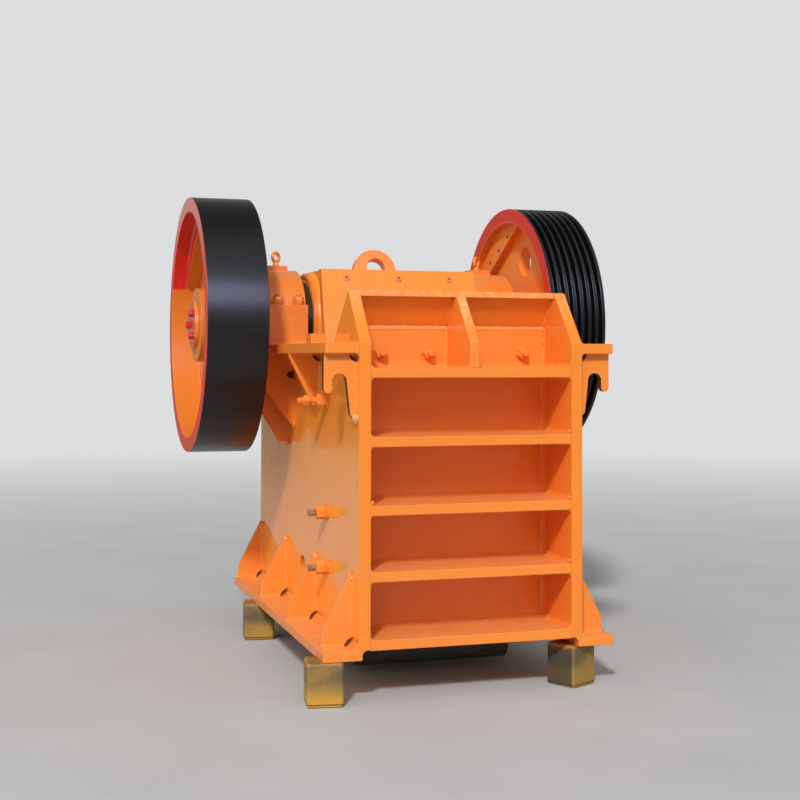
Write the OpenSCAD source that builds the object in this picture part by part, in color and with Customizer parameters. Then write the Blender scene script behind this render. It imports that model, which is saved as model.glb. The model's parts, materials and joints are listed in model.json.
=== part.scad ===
// Jaw crusher of the 500 x 750 class on four low stand blocks.
// X to the right seen from the front, Y to the back, Z up, in mm.
// Origin on the floor, in the middle of the width and of the length.
// The nodes are drawn from the front edge and the underside of the feet, and placed moves them.

/* [Frame] */
// width over the side plates
frame_w = 960; // [700:1:1300]
// thickness of the side plates
wall_t = 48; // [20:1:80]
// length of the side plates
wall_len = 1950; // [1500:1:2600]
// top edge of the side plates
wall_top = 1253; // [900:1:1700]
// apex of the front cheek, back from the front edge
cheek_y = 182; // [60:1:300]
// apex of the front cheek, height
cheek_z = 1471; // [1300:1:1900]
// foot of the cheek slope on the top edge
cheek_end = 421; // [300:1:600]
// start of the rear slope
rear_slope_y = 1690; // [1400:1:1900]
// lower end of the rear slope
rear_slope_z = 980; // [700:1:1200]
// front face of the rear wall, in from the rear end of the side plates
rear_in = 150; // [100:1:300]
// radius of the round hole in each side plate
side_hole_r = 50; // [20:1:90]
// round hole, back from the front edge
side_hole_y = 975; // [600:1:1300]
// round hole, height
side_hole_z = 230; // [150:1:400]

/* [Front] */
// depth of the front shelves
shelf_d = 285; // [150:1:400]
// thickness of a shelf
shelf_t = 40; // [20:1:60]
// top face of each shelf
shelf_tops = [76, 344, 606, 878, 1153];
// thickness of the front plate
front_t = 50; // [20:1:80]
// upper edge of the front plate
front_top = 1321; // [1200:1:1400]
// height of the bar along the top of the hood
bar_h = 25; // [10:1:40]
// hood plate, back edge of the bar
hood_back = 250; // [220:1:300]
// middle rib, left face
rib_x0 = -15; // [-60:1:0]
// middle rib, right face
rib_x1 = 25; // [5:1:60]

/* [Ledges and hooks] */
// width of the side ledges, out from the side plates
ledge_w = 140; // [100:1:200]
// thickness of the ledges
ledge_t = 42; // [20:1:60]
// thickness of the gussets
gusset_t = 30; // [15:1:45]
// front face of the hook plates
hook_y = 35; // [0:1:100]
// width of the hook plates, out from the side plates
hook_w = 138; // [100:1:200]
// near side of the hook's slot, out from the side plate
slot_out = 44; // [30:1:80]
// width of the hook's slot
slot_w = 59; // [30:1:80]
// top of the slot, below the ledge
slot_drop = 110; // [60:1:160]
// outer lip of the hook, below the ledge
lip_drop = 145; // [120:1:200]
// front faces of the ledge gussets
ledge_gusset_y = [650, 1150, 1270, 1545];
// outer edge of each ledge gusset, height
gusset_edges = [13, 171, 271, 171];
// width of each ledge gusset at its foot
gusset_toes = [35, 20, 55, 20];
// height of each ledge gusset
gusset_drops = [226, 334, 424, 334];
// stop blocks on the ledges, out from the side plates
stop_out = 20; // [10:1:60]
// front face of the stop blocks
stop_y = 470; // [430:1:600]
// size of a stop block
stop_size = [65, 90, 42];

/* [Feet and stand] */
// reach of the foot plates in under the side plates
foot_in = 16; // [0:1:48]
// reach of the foot plates out from the side plates
foot_out = 145; // [100:1:200]
// thickness of the foot plates
foot_t = 39; // [20:1:60]
// length of the foot plates
foot_len = 1915; // [1500:1:2500]
// front face of the first foot gusset
foot_gusset_y0 = 90; // [0:1:200]
// width of the foot gussets
foot_gusset_w = 129; // [80:1:145]
// height of the foot gussets
foot_gusset_h = 271; // [150:1:350]
// height of their outer edge
foot_gusset_edge = 63; // [20:1:100]
// width of their upper end
foot_gusset_top = 22; // [10:1:60]
// side of a stand block
block_w = 145; // [80:1:250]
// height of a stand block
block_h = 175; // [80:1:300]
// turn of each stand block
block_turns = [-7.5, -8, 27, 0];
// front middles of the front stand blocks and distance of the rear ones from the feet's end
block_ys = [70, 107, 515];

/* [Shaft and bearings] */
// shaft axis, back from the front edge
shaft_y = 1383; // [1100:1:1600]
// shaft axis, height
shaft_z = 1349; // [1200:1:1600]
// radius of the shaft in the bearings
journal_r = 85; // [60:1:110]
// radius of the shaft in the wheels
seat_r = 75; // [50:1:100]
// radius of the eccentric middle of the shaft
ecc_r = 115; // [90:1:140]
// throw of the eccentric
ecc_e = 15; // [5:1:25]
// radial clearance of a running fit
fit = 0.05; // [0.01:0.01:0.1]
// length of a bearing block, front to back
bearing_len = 600; // [450:1:700]
// split line of the bearings
split_z = 1441; // [1400:1:1500]
// outer radius of the bearing caps
cap_r = 270; // [200:1:300]
// reach of the bearing blocks out from the side plates
bearing_out = 170; // [120:1:200]
// radius of the outer bearing covers
cover_r = 200; // [150:1:240]
// thickness of the outer bearing covers
cover_t = 18; // [10:1:30]

/* [Flywheels] */
// outer radius of both wheels
wheel_r = 612; // [450:1:700]
// gap between a bearing block and the rim beside it
wheel_gap = 31; // [28:1:60]
// width of the rims
wheel_w = 280; // [200:1:340]
// thickness of the rims
rim_t = 70; // [40:1:100]
// inner face of the web, in from the rim's
web_in = 79; // [60:1:120]
// thickness of the web
web_t = 60; // [30:1:90]
// radius of the hubs
hub_r = 178; // [140:1:220]
// outer face of the hubs, in from the rim's
hub_in = 42; // [10:1:80]
// radius of the round holes in the webs
web_hole_r = 75; // [40:1:100]
// circle of the round holes
web_hole_ring = 347; // [280:1:400]
// angle of the first round hole
web_hole_angle = 104.5; // [0:0.5:360]
// depth of the left wheel's balance weight, in from the rim
big_weight_d = 97; // [60:1:360]
// outer face of it, in from the hub's
big_weight_in = 24; // [0:1:60]
// direction of it, turned up from the back
big_weight_angle = 56.2; // [0:0.5:360]
// depth of the right wheel's balance weight, in from the rim
small_weight_d = 124; // [60:1:200]
// thickness of it
small_weight_t = 38; // [20:1:70]
// direction of it, turned up from the back
small_weight_angle = 60.5; // [0:0.5:360]
// number of belt grooves
groove_n = 7; // [3:1:10]
// pitch of the belt grooves
groove_pitch = 37; // [25:1:45]
// depth of a belt groove
groove_d = 28; // [15:1:40]
// ridge between two grooves
ridge_w = 11; // [6:1:16]
// radius of the shaft end caps
end_cap_r = 113; // [90:1:140]
// thickness of the shaft end caps
end_cap_t = 20; // [10:1:30]

/* [Swing jaw] */
// gap between the swing jaw and a side plate
jaw_gap = 56; // [52:1:80]
// height of the shoulder above which the body is narrower
shoulder_z = 1265; // [1255:1:1300]
// how far the body is narrower there on each side
shoulder_in = 30; // [10:1:60]
// thickness of the flat head plate
head_t = 45; // [20:1:80]
// reach of the head plate past the body's side
head_out = 7; // [0:1:20]
// upper front corner, back from the front edge
jaw_top_y = 1034.3; // [950:0.1:1100]
// upper front corner, height
jaw_top_z = 1611; // [1500:1:1650]
// lean of the front face, shift per unit of height
jaw_lean = 0.257; // [0.15:0.001:0.35]
// radius of the barrel round the shaft
barrel_r = 267; // [220:1:300]
// radius of the rounded lower end
nose_r = 80; // [60:1:130]
// middle of the rounded lower end, back from the front edge
nose_cy = 588; // [560:1:700]
// lowest point of the swing jaw
nose_z = -152; // [-170:1:0]
// how far the lower end is narrower on each side
nose_in = 23; // [0:1:60]
// outer radius of the lifting eye
eye_r = 107.5; // [80:0.5:140]
// radius of the hole of the lifting eye
eye_hole_r = 47; // [20:1:60]
// thickness of the lifting eye
eye_t = 60; // [30:1:70]

/* [Jaw plates] */
// thickness of a jaw plate behind its teeth
plate_t = 60; // [30:1:80]
// height of the teeth
tooth_h = 25; // [10:1:40]
// gap between the fixed jaw plate and the cheek plates
cheek_gap = 10; // [4:1:20]
// number of teeth on the fixed plate
tooth_n = 12; // [6:1:16]
// lower end of the fixed jaw plate
plate_low = 60; // [40:1:200]
// upper end of the fixed jaw plate
plate_high = 1250; // [900:1:1300]
// length of the moving jaw plate along its face
moving_len = 1290; // [900:1:1400]
// thickness of the cheek plates
cheek_t = 50; // [30:1:56]
// lower edge of the cheek plates
cheek_low = 140; // [60:1:200]
// rear lower corner of the cheek plates
cheek_low_y = 700; // [600:1:800]
// rear upper corner of the cheek plates
cheek_top_y = 1000; // [900:1:1100]

/* [Toggle and rods] */
// radius of the ends of the toggle plate
toggle_r = 25; // [15:1:40]
// thickness of the toggle plate
toggle_t = 40; // [20:1:60]
// how far the toggle seats are narrower than the swing jaw on each side
toggle_in = 96; // [40:1:150]
// how far the toggle plate is narrower than its seats on each side
toggle_side = 10; // [5:1:20]
// rear end of the toggle plate, back from the front edge
toggle_rear_y = 1480; // [1300:1:1600]
// rear end of the toggle plate, height
toggle_rear_z = 316; // [200:1:400]
// radius of a tension rod
rod_r = 18; // [10:1:30]
// distance of a tension rod from the side plate
rod_in = 107; // [90:1:130]
// height of the tension rods
rod_z = 105; // [80:1:140]
// ends of the tension rods past their nuts
rod_past = 25; // [10:1:60]
// outer radius of the springs
spring_r = 58; // [48:1:70]
// length of the springs
spring_len = 112; // [80:1:140]

/* [Hidden] */
$fn = 96;
half_w = frame_w / 2;
wall_x0 = half_w - wall_t;
ledge_x = half_w + ledge_w;
hook_x = half_w + hook_w;
foot_x0 = half_w - foot_in;
foot_x1 = half_w + foot_out;
foot_gusset_step = (foot_len - gusset_t - foot_gusset_y0) / 3;
block_y1 = foot_len - block_ys[2];
bearing_x1 = half_w + bearing_out;
bearing_mid = 46;
bearing_mid_x = half_w + bearing_mid;
wheel_x0 = bearing_x1 + wheel_gap;
wheel_x1 = wheel_x0 + wheel_w;
rim_r = wheel_r - rim_t;
web_x0 = wheel_x0 + web_in;
hub_x1 = wheel_x1 - hub_in;
jaw_hw = wall_x0 - jaw_gap;
nose_hw = jaw_hw - nose_in;
tooth_pitch = 2 * (wall_x0 - cheek_t - cheek_gap) / tooth_n;
toggle_hw = jaw_hw - toggle_in;
rod_x = wall_x0 - rod_in;
rear_t = 60;
rear_y = wall_len - rear_in;
washer_t = 12;
nut_t = 26;
washer_y = rear_y + rear_t + spring_len;
rod_end = washer_y + washer_t + nut_t + rod_past;
mid_y = rod_end / 2;
eps = 1;
front_back = shelf_d + front_t;
hood_low_y = 297;
hood_bar_y = 208;
hood_low_z = 1340;
bar_z = cheek_z - bar_h;
rib_top_y = 165;
rib_knee_z = 1255;
ledge_z0 = wall_top - ledge_t;
ledge_len = rear_slope_y;
split_y0 = shaft_y - bearing_len / 2;
boss_in = 50;
boss_out = 62;
boss_hl = 40;
boss_top = 1641;
drum_x1 = jaw_hw + 9;
drum_edge_x = 35;
collar_x1 = wall_x0 - 8;
shaft_mid = wall_x0 - 32;
shaft_end = hub_x1 - 2;
hub_gap = 6;
journal_x1 = bearing_x1 + cover_t + hub_gap;
hub_x0 = journal_x1 + hub_gap;
bore_r = ecc_r + ecc_e + 0.3;
drum_r = 265;
drum_edge = 25;
collar_r = 215;
groove_floor = 10;
groove_flare = 0.3;
// side profile of the swing jaw
lean_angle = atan(jaw_lean);
nose_cz = nose_z + nose_r;
plate_z = 20;
eye_x = -25;
eye_z = 1630;
eye_hole_x = -20;
eye_hole_z = 1645;
cope_r = 35;
rib_cope_r = 16;
notch_r = 25;
heel_in = 15;
heel_drop = 245;
heel_low = 31;
notch_drop = 100;
nose_top = 60;
groove_hw = (groove_pitch - ridge_w) / 2 + groove_flare;
barrel_end_angle = 25;
pad_y = 850;
pad_z1 = 200;
pad_hh = 60;
lug_in = 40;
lug = [50, 45, 64];
seat_d = 35;
toggle_z = 100;
toggle_y = pad_y + seat_d;
seat_gap = 0.3;
seat_clear = 15;
rear_top = 1000;
rear_shelf_tops = [250, 600, 940];
beam_z0 = 220;
beam_z1 = 460;
rod_hole_r = 40;
plate_gap = 2;

function jaw_face(z) = jaw_top_y - jaw_lean * (jaw_top_z - z);

// origin to the floor and to the middle of the length
module placed() {
    translate([0, -mid_y, block_h]) children();
}

// a profile drawn in y and z, extruded from x0 to x1
module slab_x(x0, x1) {
    translate([x0, 0, 0])
        rotate([90, 0, 90])
            linear_extrude(x1 - x0) children();
}

// a profile drawn in x and z, extruded from y0 to y1
module slab_y(y0, y1) {
    translate([0, y1, 0])
        rotate([90, 0, 0])
            linear_extrude(y1 - y0) children();
}

// a round bar along x
module bar_x(x0, x1, r) {
    translate([x0, 0, 0]) rotate([0, 90, 0]) cylinder(h = x1 - x0, r = r);
}

// a piece drawn on the right, placed right for 1 and left for -1
module sided(side) {
    if (side > 0) children();
    else mirror([1, 0, 0]) children();
}

module on_shaft() {
    translate([0, shaft_y, shaft_z]) children();
}

// frame
module side_plate(side) {
    color("orange") placed() sided(side) difference() {
        slab_x(wall_x0, half_w)
            polygon([[0, foot_t], [0, wall_top], [cheek_y, cheek_z], [cheek_end, wall_top],
                     [rear_slope_y, wall_top], [wall_len, rear_slope_z], [wall_len, foot_t]]);
        translate([0, side_hole_y, side_hole_z]) bar_x(wall_x0 - eps, half_w + eps, side_hole_r);
    }
}

module front_plate() {
    color("orange") placed()
        translate([-wall_x0, shelf_d, shelf_tops[0] - shelf_t])
            cube([2 * wall_x0, front_t, front_top - shelf_tops[0] + shelf_t]);
}

module front_hood() {
    color("orange") placed() slab_x(-wall_x0, wall_x0)
        polygon([[cheek_y, bar_z], [cheek_y, cheek_z], [hood_back, cheek_z],
                 [front_back, hood_low_z], [front_back, front_top], [hood_low_y, front_top],
                 [hood_bar_y, bar_z]]);
}

module front_mid_rib() {
    color("orange") placed() slab_x(rib_x0, rib_x1) difference() {
        polygon([[0, shelf_tops[4]], [0, rib_knee_z], [rib_top_y, bar_z], [hood_bar_y, bar_z],
                 [hood_low_y, front_top], [shelf_d, front_top], [shelf_d, shelf_tops[4]]]);
        translate([hood_low_y, front_top]) circle(r = rib_cope_r);
    }
}

module front_shelf(n) {
    color("orange") placed()
        translate([-wall_x0, 0, shelf_tops[n] - shelf_t])
            cube([2 * wall_x0, shelf_d, shelf_t]);
}

module ledge(side) {
    color("orange") placed() sided(side)
        translate([half_w, 0, ledge_z0]) cube([ledge_x - half_w, ledge_len, ledge_t]);
}

// gusset under a ledge with a cope hole in its corner, edge high outside, toe wide at its foot
module gusset(edge, toe, drop) {
    difference() {
        polygon([[half_w, ledge_z0], [ledge_x, ledge_z0], [ledge_x, ledge_z0 - edge],
                 [half_w + toe, ledge_z0 - drop], [half_w, ledge_z0 - drop]]);
        translate([half_w, ledge_z0]) circle(r = cope_r);
    }
}

module ledge_gussets(side) {
    color("orange") placed() sided(side) for (i = [0 : 3])
        slab_y(ledge_gusset_y[i], ledge_gusset_y[i] + gusset_t) difference() {
            gusset(gusset_edges[i], gusset_toes[i], gusset_drops[i]);
            if (i == 2) translate([half_w, ledge_z0 - notch_drop]) circle(r = notch_r);
        }
}

module stop_block(side) {
    color("orange") placed() sided(side)
        translate([half_w + stop_out, stop_y, wall_top]) cube(stop_size);
}

module hook_plate(side) {
    slot_x0 = half_w + slot_out;
    slot_x1 = slot_x0 + slot_w;
    slot_z = ledge_z0 - slot_drop;
    tip_z = ledge_z0 - lip_drop;
    tip_x = (slot_x1 + hook_x) / 2;
    heel_x = slot_x0 - heel_in;
    heel_z = ledge_z0 - heel_drop;
    color("orange") placed() sided(side) slab_y(hook_y, hook_y + gusset_t) difference() {
        polygon([[half_w, ledge_z0], [hook_x, ledge_z0], [hook_x, tip_z], [tip_x + 10, tip_z - 11],
                 [tip_x, tip_z - 14], [tip_x - 10, tip_z - 11], [slot_x1, tip_z],
                 [slot_x1, slot_z], [slot_x0, slot_z], [heel_x, heel_z], [half_w, heel_z - heel_low]]);
        translate([half_w, ledge_z0]) circle(r = cope_r);
        translate([(slot_x0 + slot_x1) / 2, slot_z - 0.5])
            circle(r = slot_w / 2 + 0.004);
    }
}

// feet and stand
module foot(side) {
    color("orange") placed() sided(side)
        translate([foot_x0, 0, 0]) cube([foot_x1 - foot_x0, foot_len, foot_t]);
}

module foot_gussets(side) {
    color("orange") placed() sided(side)
        for (i = [0 : 3])
            translate([0, foot_gusset_y0 + i * foot_gusset_step, 0])
                slab_y(0, gusset_t) difference() {
                    translate([half_w, foot_t])
                        polygon([[0, 0], [foot_gusset_w, 0], [foot_gusset_w, foot_gusset_edge],
                                 [foot_gusset_top, foot_gusset_h], [0, foot_gusset_h]]);
                    translate([half_w, foot_t]) circle(r = cope_r);
                }
}

module stand_block(x, y, turn) {
    translate([x, y, -block_h / 2]) rotate([0, 0, turn])
        cube([block_w, block_w, block_h], center = true);
}

module stand_blocks() {
    color("goldenrod") placed() {
        stand_block(20 - foot_x1, block_ys[0], block_turns[0]);
        stand_block(25 - foot_x1, block_y1, block_turns[1]);
        stand_block(half_w - 4, block_ys[1], block_turns[2]);
        stand_block(foot_x1 - 65, block_y1, block_turns[3]);
    }
}

// bearings
module bearing_base(side) {
    color("orange") placed() sided(side) difference() {
        translate([wall_x0, split_y0, wall_top])
            cube([bearing_x1 - wall_x0, bearing_len, split_z - wall_top]);
        on_shaft() bar_x(wall_x0 - eps, bearing_x1 + eps, journal_r + fit);
    }
}

module bearing_cap(side) {
    color("orange") placed() sided(side) intersection() {
        union() {
            on_shaft() bar_x(wall_x0, bearing_x1, cap_r);
            translate([bearing_mid_x - boss_in, shaft_y - boss_hl, split_z])
                cube([boss_in + boss_out, 2 * boss_hl, boss_top - split_z]);
        }
        translate([wall_x0, split_y0, split_z])
            cube([bearing_x1 - wall_x0, bearing_len, 2 * cap_r]);
    }
}

module bearing_covers() {
    color("orange") placed() for (side = [-1, 1]) sided(side) on_shaft() difference() {
        bar_x(bearing_x1, bearing_x1 + cover_t, cover_r);
        bar_x(bearing_x1 - eps, bearing_x1 + cover_t + eps, journal_r + fit);
    }
}

// crushing chamber
// toothed plate: back on y = 0, teeth towards positive y, from z = 0 up
module toothed(n, length) {
    w = n * tooth_pitch;
    linear_extrude(length) polygon(concat(
        [[-w / 2, 0]],
        [for (i = [0 : n - 1]) each [[-w / 2 + i * tooth_pitch, plate_t],
                                     [-w / 2 + (i + 0.35) * tooth_pitch, plate_t + tooth_h],
                                     [-w / 2 + (i + 0.65) * tooth_pitch, plate_t + tooth_h]]],
        [[w / 2, plate_t], [w / 2, 0]]));
}

module fixed_jaw_plate() {
    color("dimgray") placed() translate([0, front_back, plate_low])
        toothed(tooth_n, plate_high - plate_low);
}

module moving_jaw_plate() {
    color("dimgray") placed() translate([0, jaw_face(plate_z), plate_z])
        rotate([-lean_angle, 0, 0])
            rotate([0, 0, 180]) toothed(tooth_n - 1, moving_len);
}

module cheek_plates() {
    color("dimgray") placed() for (side = [-1, 1]) sided(side)
        slab_x(wall_x0 - cheek_t, wall_x0)
            polygon([[front_back + plate_gap, cheek_low], [front_back + plate_gap, plate_high],
                     [cheek_top_y, plate_high], [cheek_low_y, cheek_low]]);
}

// rear of the frame
module rear_wall() {
    color("orange") placed() difference() {
        translate([-wall_x0, rear_y, foot_t]) cube([2 * wall_x0, rear_t, rear_top - foot_t]);
        for (x = [-rod_x, rod_x])
            translate([x, rear_y - eps, rod_z]) rotate([-90, 0, 0])
                cylinder(h = rear_t + 2 * eps, r = rod_hole_r);
    }
}

module rear_ribs() {
    color("orange") placed() for (z = rear_shelf_tops)
        translate([-wall_x0, rear_y + rear_t, z - shelf_t])
            cube([2 * wall_x0, wall_len - rear_y - rear_t, shelf_t]);
}

module toggle_beam() {
    color("orange") placed() {
        translate([-wall_x0, toggle_rear_y + seat_d, beam_z0])
            cube([2 * wall_x0, rear_y - toggle_rear_y - seat_d, beam_z1 - beam_z0]);
        slab_x(-toggle_hw, toggle_hw) difference() {
            translate([toggle_rear_y, toggle_rear_z - toggle_r - 2 * seat_clear])
                square([seat_d, 2 * toggle_r + 4 * seat_clear]);
            translate([toggle_rear_y, toggle_rear_z]) circle(r = toggle_r + seat_gap);
        }
    }
}

module toggle_plate() {
    run = [toggle_rear_y - toggle_y, toggle_rear_z - toggle_z];
    hw = toggle_hw - toggle_side;
    color("gray") placed() translate([0, toggle_y, toggle_z])
        rotate([atan2(run[1], run[0]), 0, 0]) {
            bar_x(-hw, hw, toggle_r);
            translate([-hw, 0, -toggle_t / 2]) cube([2 * hw, norm(run), toggle_t]);
            translate([0, norm(run), 0]) bar_x(-hw, hw, toggle_r);
        }
}

module tension_springs() {
    color("silver") placed() for (x = [-rod_x, rod_x])
        translate([x, rear_y + rear_t, rod_z]) rotate([-90, 0, 0]) difference() {
            cylinder(h = spring_len, r = spring_r);
            translate([0, 0, -eps]) cylinder(h = spring_len + 2 * eps, r = rod_hole_r + 2);
        }
}

// shaft and wheels
module eccentric_shaft() {
    color("silver") placed() on_shaft() {
        translate([0, ecc_e, 0]) bar_x(-shaft_mid, shaft_mid, ecc_r);
        for (side = [-1, 1]) sided(side) {
            bar_x(shaft_mid, journal_x1, journal_r);
            bar_x(journal_x1, shaft_end, seat_r);
        }
    }
}

// ring of the wheel, its web and its hub, with the round holes
module wheel_blank() {
    difference() {
        rotate([90, 0, 90]) rotate_extrude($fn = 180)
            polygon([[seat_r + fit, hub_x0], [hub_r, hub_x0], [hub_r, web_x0], [rim_r, web_x0],
                     [rim_r, wheel_x0], [wheel_r, wheel_x0], [wheel_r, wheel_x1],
                     [rim_r, wheel_x1], [rim_r, web_x0 + web_t], [hub_r, web_x0 + web_t],
                     [hub_r, hub_x1], [seat_r + fit, hub_x1]]);
        for (i = [0 : 4]) rotate([web_hole_angle + 60 * i, 0, 0])
            translate([0, web_hole_ring, 0]) bar_x(web_x0 - eps, web_x0 + web_t + eps, web_hole_r);
    }
}

// balance weight between x0 and x1, beyond a chord at d whose normal stands at angle a
module weight(x0, x1, d, a) {
    intersection() {
        bar_x(x0, x1, rim_r + eps);
        rotate([a, 0, 0]) translate([x0, d, -wheel_r]) cube([x1 - x0, wheel_r, 2 * wheel_r]);
    }
}

module flywheel_left() {
    color("firebrick") placed() on_shaft() mirror([1, 0, 0]) {
        wheel_blank();
        weight(web_x0 + web_t - eps, hub_x1 - big_weight_in, rim_r - big_weight_d,
               big_weight_angle);
    }
}

module pulley_flywheel_right() {
    color("firebrick") placed() on_shaft() difference() {
        union() {
            wheel_blank();
            weight(web_x0 - small_weight_t, web_x0 + eps, rim_r - small_weight_d,
                   small_weight_angle);
        }
        rotate([90, 0, 90]) rotate_extrude($fn = 180)
            for (i = [0 : groove_n - 1]) translate([wheel_r, groove_x(i)])
                polygon([[-groove_d, -groove_floor / 2], [eps, -groove_hw], [eps, groove_hw],
                         [-groove_d, groove_floor / 2]]);
    }
}

function groove_x(i) = (wheel_x0 + wheel_x1) / 2 + (i - (groove_n - 1) / 2) * groove_pitch;

module shaft_caps() {
    color("firebrick") placed() on_shaft() for (side = [-1, 1]) sided(side)
        bar_x(hub_x1, hub_x1 + end_cap_t, end_cap_r);
}

// swing jaw
module jaw_profile() {
    polygon([[jaw_top_y, jaw_top_z], [shaft_y, shaft_z + barrel_r],
             [shaft_y + barrel_r * cos(barrel_end_angle),
              shaft_z - barrel_r * sin(barrel_end_angle)],
             [pad_y, pad_z1], [pad_y, 0], [nose_cy, nose_z], [nose_cy, nose_cz],
             [jaw_face(plate_z), plate_z]]);
    translate([shaft_y, shaft_z]) circle(r = barrel_r);
}

// the part of the profile between two heights
module jaw_band(z0, z1) {
    intersection() {
        jaw_profile();
        translate([0, z0]) square([shaft_y + 2 * barrel_r, z1 - z0]);
    }
}

// rounded drum end round the eccentric, with the collar of the seal
module jaw_drum(x0) {
    rotate([90, 0, 90]) rotate_extrude() polygon(concat(
        [[bore_r - eps, x0], [drum_r, x0]],
        [for (a = [0 : 15 : 90]) [drum_r - drum_edge * (1 - cos(a)),
                                  drum_x1 - drum_edge_x * (1 - sin(a))]],
        [[collar_r, drum_x1], [collar_r, collar_x1], [bore_r - eps, collar_x1]]));
}

module swing_jaw() {
    upper_hw = jaw_hw - shoulder_in;
    color("orange") placed() difference() {
        union() {
            slab_x(-jaw_hw, jaw_hw) jaw_band(nose_top, shoulder_z);
            slab_x(-upper_hw, upper_hw) jaw_band(shoulder_z - eps, shaft_z + 2 * barrel_r);
            slab_x(-jaw_hw - head_out, jaw_hw + head_out)
                polygon([[jaw_face(shoulder_z), shoulder_z], [jaw_top_y, jaw_top_z],
                         [jaw_top_y + head_t, jaw_top_z],
                         [jaw_face(shoulder_z) + head_t, shoulder_z]]);
            slab_x(-nose_hw, nose_hw) {
                jaw_band(-2 * block_h, nose_top + eps);
                translate([nose_cy, nose_cz]) circle(r = nose_r);
            }
            slab_x(-toggle_hw, toggle_hw) difference() {
                translate([pad_y - eps, toggle_z - pad_hh]) square([seat_d + eps, 2 * pad_hh]);
                translate([toggle_y - toggle_r - seat_gap, toggle_z - toggle_r - seat_clear])
                    square([seat_d, 2 * (toggle_r + seat_clear)]);
            }
            on_shaft() for (side = [-1, 1]) sided(side) jaw_drum(upper_hw - eps);
        }
        on_shaft() bar_x(-collar_x1 - eps, collar_x1 + eps, bore_r);
    }
}

// the eye stands parallel to the leaning head plate
module lifting_eye() {
    color("orange") placed() difference() {
        translate([0, shaft_y - eye_t / 2, eye_z]) rotate([-lean_angle, 0, 0])
            slab_y(0, eye_t) difference() {
                translate([eye_x, 0]) circle(r = eye_r);
                translate([eye_hole_x, eye_hole_z - eye_z]) circle(r = eye_hole_r);
            }
        slab_x(-2 * eye_r, 2 * eye_r) jaw_profile();
    }
}

module tension_rods() {
    color("silver") placed() for (x = [-rod_x, rod_x]) translate([x, 0, rod_z]) {
        translate([-lug[0] / 2, pad_y, -lug[2] / 2]) cube(lug);
        translate([0, pad_y + lug_in, 0]) rotate([-90, 0, 0])
            cylinder(h = rod_end - pad_y - lug_in, r = rod_r);
        translate([0, washer_y, 0]) rotate([-90, 0, 0]) cylinder(h = washer_t, r = spring_r + 4);
        translate([0, washer_y + washer_t, 0]) rotate([-90, 0, 0])
            cylinder(h = nut_t, r = 32, $fn = 6);
    }
}

side_plate(-1);  // side_plate_left
side_plate(1);  // side_plate_right
front_plate();
front_hood();
front_mid_rib();
front_shelf(0);  // front_shelf_1
front_shelf(1);  // front_shelf_2
front_shelf(2);  // front_shelf_3
front_shelf(3);  // front_shelf_4
front_shelf(4);  // front_shelf_5
ledge(-1);  // ledge_left
ledge(1);  // ledge_right
ledge_gussets(-1);  // ledge_gussets_left
ledge_gussets(1);  // ledge_gussets_right
stop_block(-1);  // stop_block_left
stop_block(1);  // stop_block_right
hook_plate(-1);  // hook_plate_left
hook_plate(1);  // hook_plate_right
foot(-1);  // foot_left
foot(1);  // foot_right
foot_gussets(-1);  // foot_gussets_left
foot_gussets(1);  // foot_gussets_right
stand_blocks();
bearing_base(-1);  // bearing_base_left
bearing_base(1);  // bearing_base_right
bearing_cap(-1);  // bearing_cap_left
bearing_cap(1);  // bearing_cap_right
bearing_covers();
fixed_jaw_plate();
cheek_plates();
rear_wall();
rear_ribs();
toggle_beam();
toggle_plate();
tension_springs();
eccentric_shaft();
flywheel_left();
pulley_flywheel_right();
shaft_caps();
swing_jaw();
moving_jaw_plate();
lifting_eye();
tension_rods();
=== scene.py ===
import json
import math
import random

import bmesh
import bpy
from mathutils import Matrix, Vector

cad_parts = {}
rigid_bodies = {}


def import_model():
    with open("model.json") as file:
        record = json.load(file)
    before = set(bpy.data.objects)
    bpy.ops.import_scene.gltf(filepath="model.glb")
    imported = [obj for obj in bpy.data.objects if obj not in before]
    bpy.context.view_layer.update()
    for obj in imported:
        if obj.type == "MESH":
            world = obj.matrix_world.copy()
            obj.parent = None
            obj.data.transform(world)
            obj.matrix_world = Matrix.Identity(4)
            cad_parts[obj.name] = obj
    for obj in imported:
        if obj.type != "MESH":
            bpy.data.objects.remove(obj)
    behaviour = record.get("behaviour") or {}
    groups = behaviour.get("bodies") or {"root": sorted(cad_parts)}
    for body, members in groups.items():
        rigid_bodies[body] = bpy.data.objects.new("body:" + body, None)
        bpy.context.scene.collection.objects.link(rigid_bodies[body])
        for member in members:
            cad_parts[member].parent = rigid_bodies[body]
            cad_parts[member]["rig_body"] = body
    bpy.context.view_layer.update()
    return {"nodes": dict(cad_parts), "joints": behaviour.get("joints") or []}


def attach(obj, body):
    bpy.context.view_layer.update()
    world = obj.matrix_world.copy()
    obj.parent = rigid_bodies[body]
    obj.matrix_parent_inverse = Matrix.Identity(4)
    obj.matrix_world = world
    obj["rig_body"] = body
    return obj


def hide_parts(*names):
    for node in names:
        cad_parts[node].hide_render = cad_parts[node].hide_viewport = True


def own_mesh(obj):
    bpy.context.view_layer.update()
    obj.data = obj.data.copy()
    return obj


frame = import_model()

# Frame plates: side plates, front wall, shelves, hood, ledges, feet and gussets are thick
# flame-cut steel plate, welded together and sprayed orange as one piece. Edges are ground a
# little round, and the outer faces of the side plates carry a smoother coat that mirrors.
# These outer faces are also painted a lighter orange, which is painted light for the side walls.
shaft_y, shaft_z = frame["joints"][0]["pos_m"][1:]


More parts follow.
